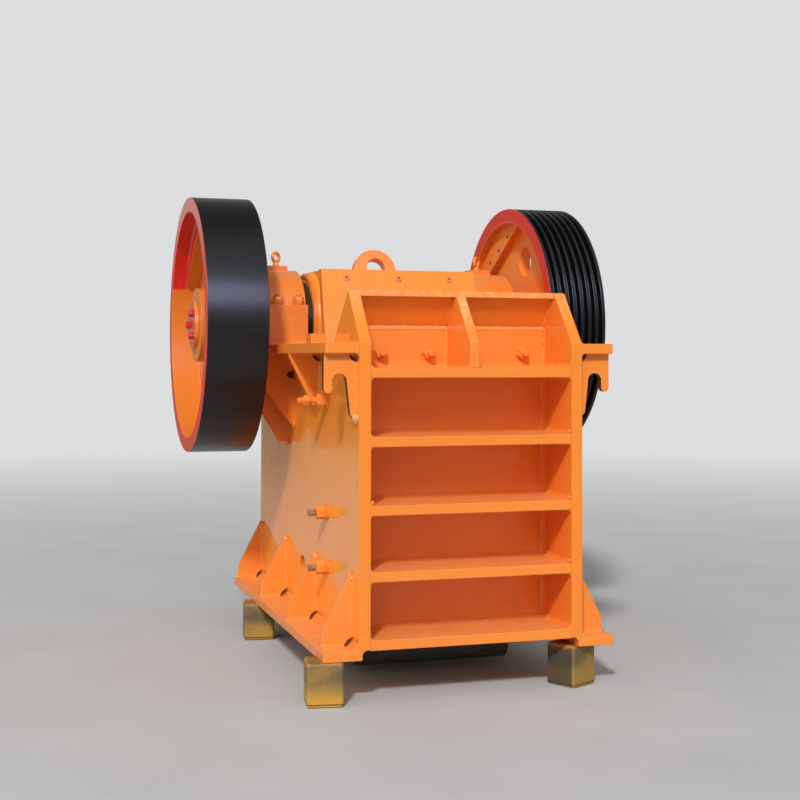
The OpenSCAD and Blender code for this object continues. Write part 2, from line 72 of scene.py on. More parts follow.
class Val:
    """A value in a node tree, its home; arithmetic on it adds Math nodes there."""

    def __init__(self, home, out):
        self.home = home
        self.out = out

    def __add__(self, other):
        return self.home.math("ADD", self, other)

    def __radd__(self, other):
        return self.home.math("ADD", other, self)

    def __sub__(self, other):
        return self.home.math("SUBTRACT", self, other)

    def __rsub__(self, other):
        return self.home.math("SUBTRACT", other, self)

    def __mul__(self, other):
        return self.home.math("MULTIPLY", self, other)

    def __rmul__(self, other):
        return self.home.math("MULTIPLY", other, self)

    def power(self, other):
        return self.home.math("POWER", self, other)

    def size(self):
        return self.home.math("ABSOLUTE", self)

    def most(self, other):
        return self.home.math("MAXIMUM", self, other)

    def step(self, low, high):
        """Smooth change from 0 to 1 while the value goes from low to high."""
        return self.home.node("ShaderNodeMapRange",
                              {"Value": self, "From Min": low, "From Max": high},
                              interpolation_type="SMOOTHSTEP")


class Nodes:
    """A node tree: one method makes its nodes, with their settings, values and links."""

    def __init__(self, tree):
        self.tree = tree

    def put(self, socket, value):
        if isinstance(value, Val):
            self.tree.links.new(value.out, socket)
        elif isinstance(value, tuple) and len(value) == 3 and socket.type == "RGBA":
            socket.default_value = (*value, 1.0)
        else:
            socket.default_value = value

    def node(self, kind, inputs, out=0, **settings):
        made = self.tree.nodes.new(kind)
        for key, value in settings.items():
            setattr(made, key, value)
        for key, value in inputs.items():
            self.put(made.inputs[key], value)
        return Val(self, made.outputs[out]) if made.outputs else made

    def math(self, operation, *values):
        return self.node("ShaderNodeMath", dict(enumerate(values)), operation=operation)

    def split(self, vector):
        parts = self.node("ShaderNodeSeparateXYZ", {0: vector}).out.node.outputs
        return [Val(self, part) for part in parts]


class Look(Nodes):
    """A procedural material around one Principled shader."""

    def __init__(self, name):
        self.material = bpy.data.materials.new(name)
        self.material.use_nodes = True
        super().__init__(self.material.node_tree)
        self.shader = self.tree.nodes["Principled BSDF"]
        self.place = self.node("ShaderNodeTexCoord", {}, out="Object")
        self.x, self.y, self.z = self.split(self.place)
        facing = self.node("ShaderNodeNewGeometry", {}, out="Normal")
        self.nx, self.ny, self.nz = self.split(facing)

    def mix(self, factor, first, second):
        return self.node("ShaderNodeMix", {0: factor, 6: first, 7: second}, out=2,
                         data_type="RGBA")

    def from_shaft(self):
        """Distance from the shaft's axis."""
        dy = self.y - shaft_y
        dz = self.z - shaft_z
        return (dy * dy + dz * dz).power(0.5)

    def stretched(self, x, y, z):
        return self.node("ShaderNodeVectorMath", {0: self.place, 1: (x, y, z)},
                         operation="MULTIPLY")

    def noise(self, scale, detail=4.0, rough=0.55, at=None):
        return self.node("ShaderNodeTexNoise", {"Vector": at or self.place, "Scale": scale,
                                                "Detail": detail, "Roughness": rough})

    def bump(self, height, distance, strength=1.0, under=None):
        inputs = {"Height": height, "Distance": distance, "Strength": strength}
        if under:
            inputs["Normal"] = under
        return self.node("ShaderNodeBump", inputs)

    def set(self, **values):
        names = {"color": "Base Color", "rough": "Roughness", "metal": "Metallic",
                 "coat": "Coat Weight", "coat_rough": "Coat Roughness", "normal": "Normal",
                 "specular": "Specular IOR Level"}
        for key, value in values.items():
            self.put(self.shader.inputs[names[key]], value)
        return self.material


def orange_paint(name, gloss=0.15, dusty=1.0, mirror=0.15, low=None, cut=False,
                 lit_side=0.0, rugged=1.0, shine=0.32, wash=None):
    """Thick sprayed enamel: cloudy coats, orange peel, dust on top faces and grime low down."""
    look = Look(name)
    cloud = look.noise(2.3, 3.0).step(0.3, 0.7)
    patch = look.noise(11.0, 5.0).step(0.35, 0.75)
    speck = look.noise(420.0, 2.0).step(0.62, 0.8)
    runs = look.noise(16.0, 3.0, at=look.stretched(1.0, 1.0, 0.12)).step(0.5, 0.8)
    fine = look.noise(110.0, 3.0, 0.6).step(0.35, 0.7)
    color = look.mix(cloud * 0.5, (0.83, 0.222, 0.027), (0.89, 0.262, 0.036))
    color = look.mix(patch * 0.20, color, (0.77, 0.180, 0.020))
    color = look.mix(runs * 0.10, color, (0.94, 0.31, 0.05))
    color = look.mix(fine * 0.16, color, (0.94, 0.30, 0.055))
    color = look.mix(speck * 0.20, color, (0.62, 0.16, 0.03))
    up = look.nz.step(0.72, 0.98)
    dust = up * (look.noise(26.0, 6.0, 0.65).step(0.3, 0.75) * 0.5 + 0.3) * (0.6 * dusty)
    color = look.mix(dust, color, (0.80, 0.41, 0.17))
    worn = look.z.step(1.47, 1.60) * look.y.step(-0.70, -0.76) * look.nz.step(-0.3, -0.1)
    worn = worn * look.nx.size().step(0.8, 0.6)
    worn = worn * (look.noise(30.0, 5.0, 0.6).step(0.35, 0.7) * 0.6 + 0.15)
    color = look.mix(worn * dusty, color, (0.88, 0.44, 0.17))
    # Painted light: the outer side faces get a lighter orange that stands in for more light on the
    # side walls. Their extra gloss is a real smoother coat.
    if lit_side:
        flat = look.nx.size().step(0.85, 0.97) * look.x.size().step(0.46, 0.47)
        lit_side_cloud = look.noise(3.0, 4.0, 0.6).step(0.2, 0.8) * 0.3 + 0.7
        color = look.mix(lit_side_cloud * flat * lit_side, color, (0.95, 0.318, 0.036))
        gloss = flat * (gloss - 0.1) + 0.1
    if wash:
        color = look.mix(wash[0], color, wash[1])
    if low:
        bare = look.noise(12.0, 5.0, 0.6) * 0.03
        color = look.mix((look.z + bare).step(low, low - 0.01), color, (0.070, 0.082, 0.078))
        from_axis = look.from_shaft()
        collar = look.x.size().step(0.3855, 0.3865) * from_axis.step(0.2205, 0.2195)
        color = look.mix(collar, color, (0.050, 0.032, 0.016))
    if cut:
        edge = look.ny.size().step(0.5, 0.4) * look.nz.step(0.8, 0.6)
        color = look.mix(edge, color, (0.055, 0.030, 0.014))
    grime = look.z.step(0.62, 0.16) * look.noise(19.0, 6.0, 0.7).step(0.45, 0.8) * 0.35
    color = look.mix(grime, color, (0.42, 0.17, 0.05))
    peel = look.noise(170.0, 2.0, 0.5)
    sag = look.noise(9.0, 2.0, 0.5)
    normal = look.bump(sag, 0.0035 * rugged, 0.5)
    normal = look.bump(peel, 0.0006 * rugged, 0.6, under=normal)
    if rugged > 2:
        normal = look.bump(look.noise(75.0, 3.0, 0.6), 0.005, 0.9, under=normal)
    rough = 0.30 + patch * 0.10 + dust * 0.5 + grime * 0.4
    return look.set(color=color, rough=rough, coat=gloss, coat_rough=mirror, specular=shine,
                    normal=normal)

def shown(name, mesh, body, material, sharp=38.0):
    for face in mesh.polygons:
        face.use_smooth = True
    mesh.set_sharp_from_angle(angle=math.radians(sharp))
    mesh.materials.clear()
    mesh.materials.append(material)
    made = bpy.data.objects.new(name, mesh)
    bpy.context.scene.collection.objects.link(made)
    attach(made, body)
    return made


def softened(node, width, material, segments=2, least=30.0):
    """Stands for a CAD node with the same shape, its edges rounded off by width in millimetres."""
    source = frame["nodes"][node]
    bm = bmesh.new()
    bm.from_mesh(source.data)
    bmesh.ops.remove_doubles(bm, verts=bm.verts, dist=2e-6)
    bmesh.ops.dissolve_limit(bm, angle_limit=math.radians(0.4), verts=bm.verts, edges=bm.edges)
    edges = [e for e in bm.edges if len(e.link_faces) == 2
             and e.calc_face_angle(0.0) > math.radians(least)]
    bmesh.ops.bevel(bm, geom=edges, offset=width / 1000, segments=segments, profile=0.5,
                    affect="EDGES", clamp_overlap=True)
    mesh = bpy.data.meshes.new(node + "_soft")
    bm.to_mesh(mesh)
    bm.free()
    made = shown(node + "_soft", mesh, source["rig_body"], material, 60.0)
    made.modifiers.new("flat faces", "WEIGHTED_NORMAL")
    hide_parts(node)
    return made

orange = orange_paint("orange_enamel")
orange_side = orange_paint("orange_enamel_side", gloss=0.62, dusty=0.6, mirror=0.04, lit_side=0.95,
                           shine=0.15)
for plate in ("side_plate_left", "side_plate_right"):
    softened(plate, 2.5, orange_side)
softened("front_mid_rib", 2.2, orange_paint("orange_enamel_rib", dusty=1.8))
for plate in ("front_plate", "front_hood", "front_shelf_1", "front_shelf_2",
              "front_shelf_3", "front_shelf_4", "front_shelf_5", "ledge_left", "ledge_right",
              "ledge_gussets_left", "ledge_gussets_right", "stop_block_left",
              "stop_block_right", "foot_left", "foot_right", "foot_gussets_left",
              "foot_gussets_right", "rear_wall", "rear_ribs", "toggle_beam"):
    softened(plate, 2.2, orange)

# Hook plates: a hook of flame-cut steel plate is welded under the front end of each ledge.
# The flat faces are sprayed orange, and the cut edges stay brown.
orange_cut = orange_paint("orange_enamel_cut", cut=True)
for plate in ("hook_plate_left", "hook_plate_right"):
    softened(plate, 1.2, orange_cut)

# Front welds: fillet runs in every corner of the five bays, heavier in the upright corners,
# with lumps where a run ends. All of it is painted over.
front_y, foot_z = -1.0175, 0.175
to_metres = Matrix.Translation((0, front_y, foot_z)) @ Matrix.Scale(0.001, 4)


def square_to(axis):
    """Two directions square to axis, and the axis itself, each of length one."""
    axis = Vector(axis).normalized()
    side = axis.orthogonal().normalized()
    return side, axis.cross(side), axis


class Shape:
    """Points and faces in millimetres: X right, Y back from the front edge, Z up from the feet."""

    def __init__(self):
        self.verts = []
        self.faces = []

    def add(self, verts, faces):
        start = len(self.verts)
        self.verts += [Vector(v) for v in verts]
        self.faces += [[start + i for i in f] for f in faces]

    def rings(self, rings, closed=False):
        """Skins rings of the same number of points, with end caps unless closed."""
        n = len(rings[0])
        count = len(rings)
        faces = []
        for k in range(count if closed else count - 1):
            a = k * n
            b = (k + 1) % count * n
            faces += [[a + i, a + (i + 1) % n, b + (i + 1) % n, b + i] for i in range(n)]
        if not closed:
            faces += [list(range(n))[::-1], list(range((count - 1) * n, count * n))]
        self.add([p for ring in rings for p in ring], faces)

    def weld(self, start, end, u, v, leg, seed=0, bulge=-0.12):
        """A fillet weld in the corner between the directions u and v, rippled like a real run."""
        rng = random.Random(seed)
        start = Vector(start)
        end = Vector(end)
        u = Vector(u).normalized()
        v = Vector(v).normalized()
        mid = (u + v) / math.sqrt(2)
        ripple = 6.5
        count = max(3, int((end - start).length / ripple))
        wave = rng.uniform(0.0, 6.0)
        rough = min(1.0, 10.0 / leg)
        rings = []
        for k in range(count + 1):
            p = start.lerp(end, k / count)
            swell = 1.0 + rough * (0.10 * math.sin(0.37 * k + wave) + rng.uniform(-0.08, 0.08))
            swell += 0.06 * rough * (k % 2)
            if k in (0, count):
                swell *= 0.82
            r = leg * swell
            low, top, rise = (rough * rng.uniform(-0.08, 0.08) for _ in range(3))
            rise += bulge
            edge = [p + u * (r * (1 + low)),
                    p + u * (0.70 * r) + v * (0.30 * r) + mid * ((0.8 * rise + low) * r),
                    p + (u + v) * (0.5 * r) + mid * (rise * r),
                    p + u * (0.30 * r) + v * (0.70 * r) + mid * ((0.8 * rise + top) * r),
                    p + v * (r * (1 + top))]
            rings.append([p - u * 0.4 - v * 0.4, *edge])
        self.rings(rings)

    def drip(self, base, axis, r, long, seed):
        """A lump of weld metal or paint that tapers off along axis."""
        rng = random.Random(seed)
        side, other, axis = square_to(axis)
        taper = ((0.7, -0.2), (1.0, 0.0), (0.95, 0.3), (0.7, 0.6), (0.4, 0.85), (0.12, 1.0))
        rings = []
        for size, part in taper:
            drift = side * rng.uniform(-0.12, 0.12) * r + other * rng.uniform(-0.12, 0.12) * r
            rings.append([Vector(base) + axis * (long * part) + drift
                          + (side * math.cos(a) + other * math.sin(a))
                          * (r * size * rng.uniform(0.88, 1.12))
                          for a in [2 * math.pi * i / 12 for i in range(12)]])
        self.rings(rings)

    def lathe(self, base, axis, profile, n=32, closed=False, turn=0.0):
        """Turns (radius, height) pairs round an axis through base."""
        side, other, axis = square_to(axis)
        rings = []
        for r, h in profile:
            angles = [turn + 2 * math.pi * i / n for i in range(n)]
            rings.append([Vector(base) + axis * h + side * (r * math.cos(a))
                          + other * (r * math.sin(a)) for a in angles])
        self.rings(rings, closed)

    def mesh(self, name):
        """The mesh, still in millimetres, with its faces turned outwards."""
        mesh = bpy.data.meshes.new(name)
        mesh.from_pydata(self.verts, [], self.faces)
        bm = bmesh.new()
        bm.from_mesh(mesh)
        bmesh.ops.recalc_face_normals(bm, faces=bm.faces)
        bm.to_mesh(mesh)
        bm.free()
        return mesh

    def piece(self, name, body, material, sharp=38.0):
        mesh = self.mesh(name)
        mesh.transform(to_metres)
        return shown(name, mesh, body, material, sharp)


orange_weld = orange_paint("orange_enamel_weld", gloss=0.25, mirror=0.16, rugged=2.5, shine=0.2)
welds = Shape()
wall_in, bay_front, bay_back = 432, 3, 285
shelf_thick = 40
shelf_tops = (76, 344, 606, 878, 1153)
hood_low, hood_y, hood_top, hood_top_y = 1321, 284, 1442, 210
rib_left, rib_right = -15, 25
bays = [(top, above - shelf_thick) for top, above in zip(shelf_tops, shelf_tops[1:])]
bays.append((shelf_tops[-1], hood_low))
for i, (low, high) in enumerate(bays):
    under_shelf = i < len(bays) - 1
    for side in (-1, 1):
        x = side * wall_in
        inward = (-side, 0, 0)
        welds.weld((x, bay_front, low), (x, bay_back, low), inward, (0, 0, 1), 18,
                   10 * i + side)
        if under_shelf:
            welds.weld((x, bay_front, high), (x, bay_back, high), inward, (0, 0, -1), 14,
                       20 * i + side)
        welds.weld((x, bay_back, low), (x, bay_back, high), inward, (0, -1, 0),
                   17 if under_shelf else 10, 30 * i + side)
    welds.weld((-wall_in, bay_back, low), (wall_in, bay_back, low), (0, -1, 0), (0, 0, 1), 17,
               40 + i)
    if under_shelf:
        welds.weld((-wall_in, bay_back, high), (wall_in, bay_back, high), (0, -1, 0), (0, 0, -1),
                   9, 50 + i)
hood_slope = (-0.1, -1, -0.55)
for x, side in ((rib_left, -1), (rib_right, 1)):
    out = (side, 0, 0)
    welds.weld((x, 4, shelf_tops[-1]), (x, bay_back, shelf_tops[-1]), out, (0, 0, 1), 9, 60 + side)
    welds.weld((x, bay_back, shelf_tops[-1]), (x, bay_back, hood_low), out, (0, -1, 0), 8,
               64 + side)
    welds.weld((x, hood_y, 1341), (x, hood_top_y, hood_top), out, hood_slope, 8, 70 + side)
for x0, x1, seed in ((-wall_in, rib_left, 80), (rib_right, wall_in, 81)):
    welds.weld((x0, 286, hood_low), (x1, 286, hood_low), (0, -0.4, -1), (0, 0.2, 1), 8, seed,
               bulge=0.35)
for side in (-1, 1):
    welds.weld((side * wall_in, 295, 1325), (side * wall_in, hood_top_y, hood_top), (-side, 0, 0),
               hood_slope, 9, 90 + side)
lumps = ((424, 284, 1318), (-424, 284, 1318), (426, 282, 1298), (426, 282, 1262), (424, 4, 894),
         (-424, 4, 622), (424, 4, 622), (424, 4, 360), (20, 8, 1160), (420, 280, 1140),
         (-421, 280, 870), (420, 280, 600))
for k, lump in enumerate(lumps):
    welds.drip(lump, (0, -0.2, -1), 7, 15, 95 + k)
welds.piece("front_welds", "frame", orange_weld, 50.0)

# Fixed jaw bolts: three studs with washers and hex nuts in the top bay of the front wall hold
# the fixed jaw plate. They are turned and threaded steel, sprayed over with the frame.


class Jig(Nodes):
    """A geometry node tree with named inputs, which ends in one painted mesh."""

    def __init__(self, name, inputs):
        super().__init__(bpy.data.node_groups.new(name, "GeometryNodeTree"))
        sockets = self.tree.interface
        sockets.new_socket("Result", in_out="OUTPUT", socket_type="NodeSocketGeometry")
        for key, kind in inputs.items():
            sockets.new_socket(key, in_out="INPUT", socket_type="NodeSocket" + kind)
        given = self.tree.nodes.new("NodeGroupInput").outputs
        self.given = {key: Val(self, given[key]) for key in inputs}

    def end(self, geometry):
        real = self.node("GeometryNodeRealizeInstances", {"Geometry": geometry})
        painted = self.node("GeometryNodeSetMaterial", {"Geometry": real,
                                                        "Material": self.given["Finish"]})
        self.node("NodeGroupOutput", {0: painted})

    def run(self, start, values):
        """Runs the tree on the mesh start and gives back the plain mesh that comes out."""
        bench = bpy.data.objects.new("bench", start)
        bpy.context.scene.collection.objects.link(bench)
        nodes = bench.modifiers.new("nodes", "NODES")
        nodes.node_group = self.tree
        for socket in self.tree.interface.items_tree:
            if socket.in_out == "INPUT" and socket.name in values:
                nodes[socket.identifier] = values[socket.name]
        graph = bpy.context.evaluated_depsgraph_get()
        mesh = bpy.data.meshes.new_from_object(bench.evaluated_get(graph))
        bpy.data.objects.remove(bench)
        return mesh


setting = Jig("set_in_place", {"Places": "Geometry", "Part": "Object", "Scale": "Float",
                               "Finish": "Material"})
part = setting.node("GeometryNodeObjectInfo", {"Object": setting.given["Part"]}, out="Geometry")
laid = setting.node("GeometryNodeInputNamedAttribute", {"Name": "laid"}, data_type="FLOAT_VECTOR")
setting.end(setting.node("GeometryNodeInstanceOnPoints", {
    "Points": setting.given["Places"], "Instance": part, "Rotation": laid,
    "Scale": setting.given["Scale"]}))


def repeated(name, body, finish, runs, sharp=30.0):
    """Sets each part, modelled along Z, at all its places (point, axis, turn), as one piece."""
    upright = Matrix(square_to((0, 0, 1)))
    whole = bmesh.new()
    for part_mesh, places in runs:
        start = bpy.data.meshes.new("places")
        start.from_pydata([to_metres @ Vector(point) for point, _, _ in places], [], [])
        laid_along = start.attributes.new("laid", "FLOAT_VECTOR", "POINT")
        for item, (_, axis, turn) in zip(laid_along.data, places):
            lay = Matrix(square_to(axis)).transposed() @ Matrix.Rotation(turn, 3, "Z") @ upright
            item.vector = lay.to_euler()
        sample = bpy.data.objects.new("sample", part_mesh)
        bpy.context.scene.collection.objects.link(sample)
        whole.from_mesh(setting.run(start, {"Part": sample, "Scale": 0.001, "Finish": finish}))
        bpy.data.objects.remove(sample)
    mesh = bpy.data.meshes.new(name)
    whole.to_mesh(mesh)
    whole.free()
    if "laid" in mesh.attributes:
        mesh.attributes.remove(mesh.attributes["laid"])
    return shown(name, mesh, body, finish, sharp)


class Bolt(Shape):
    """A fastener along Z, its heights measured from the face that it sits on."""

    def turned(self, profile, n=32, turn=0.0):
        self.lathe((0, 0, 0), (0, 0, 1), profile, n, turn=turn)
        return self

    def nut(self, low, across, high, turn=0.0):
        """A hex nut with chamfered ends."""
        r = across / math.sqrt(3)
        return self.turned([(0.90 * r, low), (r, low + 0.12 * high), (r, low + 0.86 * high),
                            (0.88 * r, low + high)], 6, turn)

    def washer(self, low, r, high):
        return self.turned([(r - 1, low), (r, low + 1), (r, low + high - 1), (r - 1, low + high)],
                           28)

    def stud(self, low, r, long, pitch=3.5):
        """A threaded rod with a chamfered tip."""
        profile = [(r, low)]
        h = 0.0
        while h + pitch < long - 2:
            profile += [(r, low + h + 0.1), (0.90 * r, low + h + pitch / 2)]
            h += pitch
        return self.turned(profile + [(r, low + long - 2.5), (0.82 * r, low + long)], 20)


jaw_bolt = Bolt().washer(0, 29, 5).nut(5, 46, 24).stud(27, 14.5, 26)
jaw_bolt_places = [((x, bay_back, 1214), (0, -1, 0), 0.3 * k)
                   for k, x in enumerate((-313, -102, 325))]
repeated("fixed_jaw_bolts", "frame", orange_weld,
         [(jaw_bolt.mesh("jaw_bolt"), jaw_bolt_places)])

# Stand blocks: four short lengths of thick steel box section with rounded corners stand under
# the feet. They are painted yellow, worn and dirty, with orange overspray at the top. Their
# tops under the feet and the back and right blocks are darkened with painted shadow mixed
# with dark stain. The right front block's left face is darkened with painted shade.
stand = Look("stand_paint")
# Painted shadow mixed with dark stain: high darkens the tops under the feet, and far darkens the
# back and right blocks.
high = stand.z.step(0.015, 0.115) * 0.9
far = stand.y.step(0.2, 0.4).most(stand.x.step(0.2, 0.4) * 0.6) * 0.8
cloud = stand.noise(6.0, 5.0, 0.6).step(0.34, 0.62)
streak = stand.noise(9.0, 5.0, 0.6, at=stand.stretched(2.0, 2.0, 0.3)).step(0.4, 0.7)
stand_color = stand.mix(streak * 0.5, (0.54, 0.270, 0.020), (0.42, 0.235, 0.040))
stand_color = stand.mix((cloud * 0.5 + 0.5) * high.most(far), stand_color,
                        (0.070, 0.068, 0.042))
stand_color = stand.mix(stand.noise(45.0, 5.0, 0.7).step(0.55, 0.75) * 0.5, stand_color,
                        (0.13, 0.10, 0.05))
shaded = stand.nx.step(-0.7, -0.9) * stand.x.step(0.3, 0.4)
stand_color = stand.mix(shaded * 0.85, stand_color, (0.05, 0.040, 0.028))
seam = stand.z.step(0.010, 0.012) * stand.z.step(0.017, 0.015)
stand_color = stand.mix(seam * 0.85, stand_color, (0.035, 0.025, 0.015))
over = stand.z.step(0.150, 0.174) * stand.noise(22.0, 4.0).step(0.4, 0.6)
over = over * (stand.nx.step(-0.3, -0.7) * 0.6 + 0.2)
stand_color = stand.mix(over, stand_color, (0.74, 0.21, 0.025))
stand_look = stand.set(color=stand_color, rough=0.45 + streak * 0.2, specular=0.35,
                       normal=stand.bump(stand.noise(60.0, 6.0, 0.7), 0.0015, 0.6))
softened("stand_blocks", 11.0, stand_look, segments=4)

# Bearings: cast blocks on the ledges in two halves, held by flange bolts, with a screwed cover,
# and on each cap a boss with a lifting eyebolt. All of it is sprayed orange.
orange_cast = orange_paint("orange_enamel_cast", gloss=0.6, mirror=0.1, rugged=1.8,
                           wash=(0.22, (0.60, 0.13, 0.012)))
for node in ("bearing_base_left", "bearing_base_right", "bearing_cap_left", "bearing_cap_right",
             "bearing_covers"):
    softened(node, 6.0, orange_cast, segments=3)
axis_y, axis_z = 1000 * (shaft_y - front_y), 1000 * (shaft_z - foot_z)
bearing_x = 526
flange_bolt = Bolt().nut(0, 47, 38).stud(38, 13, 12)
flange_places = [((side * bearing_x + dx, y, 1441), (0, 0, 1), 0.26)
                 for side in (-1, 1) for dx in (-50, 50) for y in (1106, 1660)]
loop, wire, loop_z = 22, 8.2, 43
eyebolt = Bolt().turned([(18, 0), (18, 4), (13, 8), (11, 20)], 28)
eyebolt.lathe((0, 0, loop_z), (0, 1, 0),
              [(loop + wire * math.cos(a), wire * math.sin(a))
               for a in [2 * math.pi * k / 12 for k in range(12)]], 40, closed=True)
eyebolt_places = [((side * bearing_x, axis_y, 1641), (0, 0, 1), math.radians(turn))
                  for side, turn in ((-1, 33), (1, 42))]
screw = Bolt().nut(0, 16, 7)
screw_circle = 188
screw_places = [((side * 668, axis_y + screw_circle * math.cos(a),
                  axis_z + screw_circle * math.sin(a)), (side, 0, 0), 0.0)
                for side in (-1, 1) for a in [math.radians(45 * k + 22.5) for k in range(8)]]
repeated("bearing_bolts", "frame", orange,
         [(flange_bolt.mesh("flange_bolt"), flange_places),
          (eyebolt.mesh("eyebolt"), eyebolt_places), (screw.mesh("cover_screw"), screw_places)])

# Flywheels: two cast wheels. The rims are black outside, the rim faces red, the webs orange;
# the right one carries seven belt grooves. A weight is cast into each and drilled for balance.
# The right weight's drill holes are dark discs of painted shade.


def wheel_paint(name, left):
    look = Look(name)
    radius = look.from_shaft()
    across = look.x.size()
    grain = look.noise(60.0, 5.0, 0.6)
    red = look.mix(grain.step(0.3, 0.7) * 0.35, (0.62, 0.017, 0.010), (0.74, 0.036, 0.020))
    # Painted light: the right wheel's web is a lighter orange than the left's, standing in for
    # light on its shaded inner face. The left web is darker where the side fill lights it.
    if left:
        gold = look.mix(grain.step(0.3, 0.7) * 0.25, (0.66, 0.180, 0.022), (0.74, 0.215, 0.030))
    else:
        gold = look.mix(grain.step(0.3, 0.7) * 0.25, (0.90, 0.232, 0.028), (0.94, 0.270, 0.038))
    soot = look.mix(look.noise(7.0, 4.0).step(0.35, 0.7) * 0.5, (0.0024, 0.0024, 0.0032),
                    (0.0048, 0.0044, 0.0050))
    wobble = look.noise(14.0, 2.0) * 0.004
    tread = radius.step(0.5795, 0.5805) * across.step(0.9600, 0.9585)
    tread = tread * across.step(0.6820, 0.6835)
    band = (radius + wobble * 0.25).step(0.5445, 0.546)
    color = look.mix(band, gold, red)
    if left:
        weight_angle = math.radians(56.2)
        chord = ((look.y - shaft_y) * math.cos(weight_angle)
                 + (look.z - shaft_z) * math.sin(weight_angle))
        proud = across.step(0.8930, 0.8945)
        color = look.mix((chord + wobble).step(0.4440, 0.4465) * proud, color, red)
        # Painted reflection: the top of the left wheel's red lip is mixed toward a pale pink.
        lip = look.nx.step(-0.8, -0.95) * proud * radius.step(0.507, 0.511)
        pale = lip * look.z.step(1.72, 2.08) * (grain.step(0.35, 0.65) * 0.2 + 0.45)
        color = look.mix(pale, color, (0.66, 0.36, 0.36))
    color = look.mix(tread, color, soot)
    normal = look.bump(look.noise(150.0, 3.0, 0.6), 0.0005, 0.5)
    normal = look.bump(look.noise(12.0, 2.0), 0.002, 0.3, under=normal)
    return look.set(color=color, rough=0.30 + grain * 0.08 - tread * 0.05, specular=0.35,
                    coat=tread * 0.2, coat_rough=0.28, normal=normal)


softened("flywheel_left", 4.0, wheel_paint("wheel_enamel_left", True))
softened("pulley_flywheel_right", 1.6, wheel_paint("wheel_enamel_right", False),
         least=20.0)
dark = Look("manganese_steel")
rust = dark.noise(13.0, 6.0, 0.7).step(0.45, 0.72)
dark_look = dark.set(color=dark.mix(rust * 0.4, (0.050, 0.056, 0.055), (0.085, 0.062, 0.046)),
                     rough=0.55 + rust * 0.25, metal=0.1,
                     normal=dark.bump(dark.noise(45.0, 6.0, 0.65), 0.003, 0.7))
# Painted shade: dark discs on the right wheel's weight stand for the shade inside its holes.
tap = Bolt().turned([(11, 0), (11, 0.8), (7, 0.8)], 20)
hole_shade_places = [((722.5, axis_y + y, axis_z + z), (-1, 0, 0), 0.0)
              for y, z in ((60, 476), (184, 414), (308, 358))]
repeated("weight_holes", "rotor", dark_look, [(tap.mesh("tap"), hole_shade_places)])

# Shaft caps: a turned red disc on each end of the shaft, its rim sprayed orange with the hub,
# held by three red hex bolts with washers.
cap_red, cap_red_pale = (0.58, 0.017, 0.011), (0.70, 0.036, 0.021)
lid = Look("shaft_cap_enamel")
lid_color = lid.mix(lid.noise(60.0, 5.0, 0.6) * 0.35, cap_red, cap_red_pale)
lid_color = lid.mix(lid.nx.size().step(0.7, 0.5), lid_color, (0.80, 0.230, 0.026))
lid_look = lid.set(color=lid_color, rough=0.35, coat=0.6, coat_rough=0.12,
                   normal=lid.bump(lid.noise(150.0, 3.0), 0.0008, 0.5))
softened("shaft_caps", 3.0, lid_look)
red = Look("red_enamel")
red_grain = red.noise(60.0, 5.0, 0.6)
red_look = red.set(color=red.mix(red_grain.step(0.3, 0.7) * 0.35, cap_red, cap_red_pale),
                   rough=0.30 + red_grain * 0.1, coat=0.2, coat_rough=0.12,
                   normal=red.bump(red.noise(150.0, 3.0), 0.0008, 0.5))
cap_bolt = Bolt().washer(0, 18, 3).nut(3, 30, 16)
bolt_circle = 62
cap_bolt_places = [((side * 939, axis_y - bolt_circle * math.cos(math.radians(angle)),
                     axis_z + bolt_circle * math.sin(math.radians(angle))),
                    (side, 0, 0), angle / 40)
                   for side in (-1, 1) for angle in (60, -60, 180)]
repeated("cap_bolts", "rotor", red_look,
         [(cap_bolt.mesh("cap_bolt"), cap_bolt_places)])

# Shaft: forged steel, turned bright, with the eccentric middle inside the swing jaw. It is only
# seen between the bearings and the wheels.
steel = Look("turned_steel")
steel_ring = steel.noise(220.0, 3.0, at=steel.stretched(1.0, 0.02, 0.02))
steel_look = steel.set(color=steel.mix(steel.noise(20.0, 4.0), (0.20, 0.18, 0.16),
                                       (0.34, 0.32, 0.30)),
                       rough=0.28 + steel_ring * 0.2, metal=0.9,
                       normal=steel.bump(steel_ring, 0.0004, 0.5))
frame["nodes"]["eccentric_shaft"].data.materials.clear()
frame["nodes"]["eccentric_shaft"].data.materials.append(steel_look)

# Swing jaw: one big casting hung on the eccentric, with a flat head, a round barrel with a
# raised lip at each end, and a lifting eye, all sprayed orange. Its lower end is left dark.
# Painted highlight: the wash turns the whole swing jaw a yellower, lighter orange, standing in for
# the light that its tilted head catches.
orange_jaw = orange_paint("orange_enamel_jaw", low=0.225, gloss=0.05, shine=0.14,
                          wash=(0.5, (0.84, 0.315, 0.036)))
softened("swing_jaw", 5.0, orange_jaw, segments=3)
drum_end = 386
lip_profile = [(237, -8), (237, 3), (241, 7), (252, 7), (258, 2), (260, -8)]
drum_lips = Shape()
for side in (-1, 1):
    drum_lips.lathe((side * drum_end, axis_y, axis_z), (side, 0, 0), lip_profile, 96, closed=True)
orange_drum = orange_paint("orange_enamel_drum", gloss=0.03, shine=0.10,
                           wash=(0.4, (0.60, 0.13, 0.012)))
drum_lips.piece("drum_lips", "jaw", orange_drum, 50.0)
softened("lifting_eye", 9.0, orange, segments=4, least=50.0)

# Crushing parts: the two corrugated jaw plates and the cheek plates are cast manganese steel
# without paint, dark with a little rust. The toggle plate, in cast iron, looks the same.
for node in ("fixed_jaw_plate", "moving_jaw_plate", "cheek_plates", "toggle_plate"):
    softened(node, 3.0, dark_look)

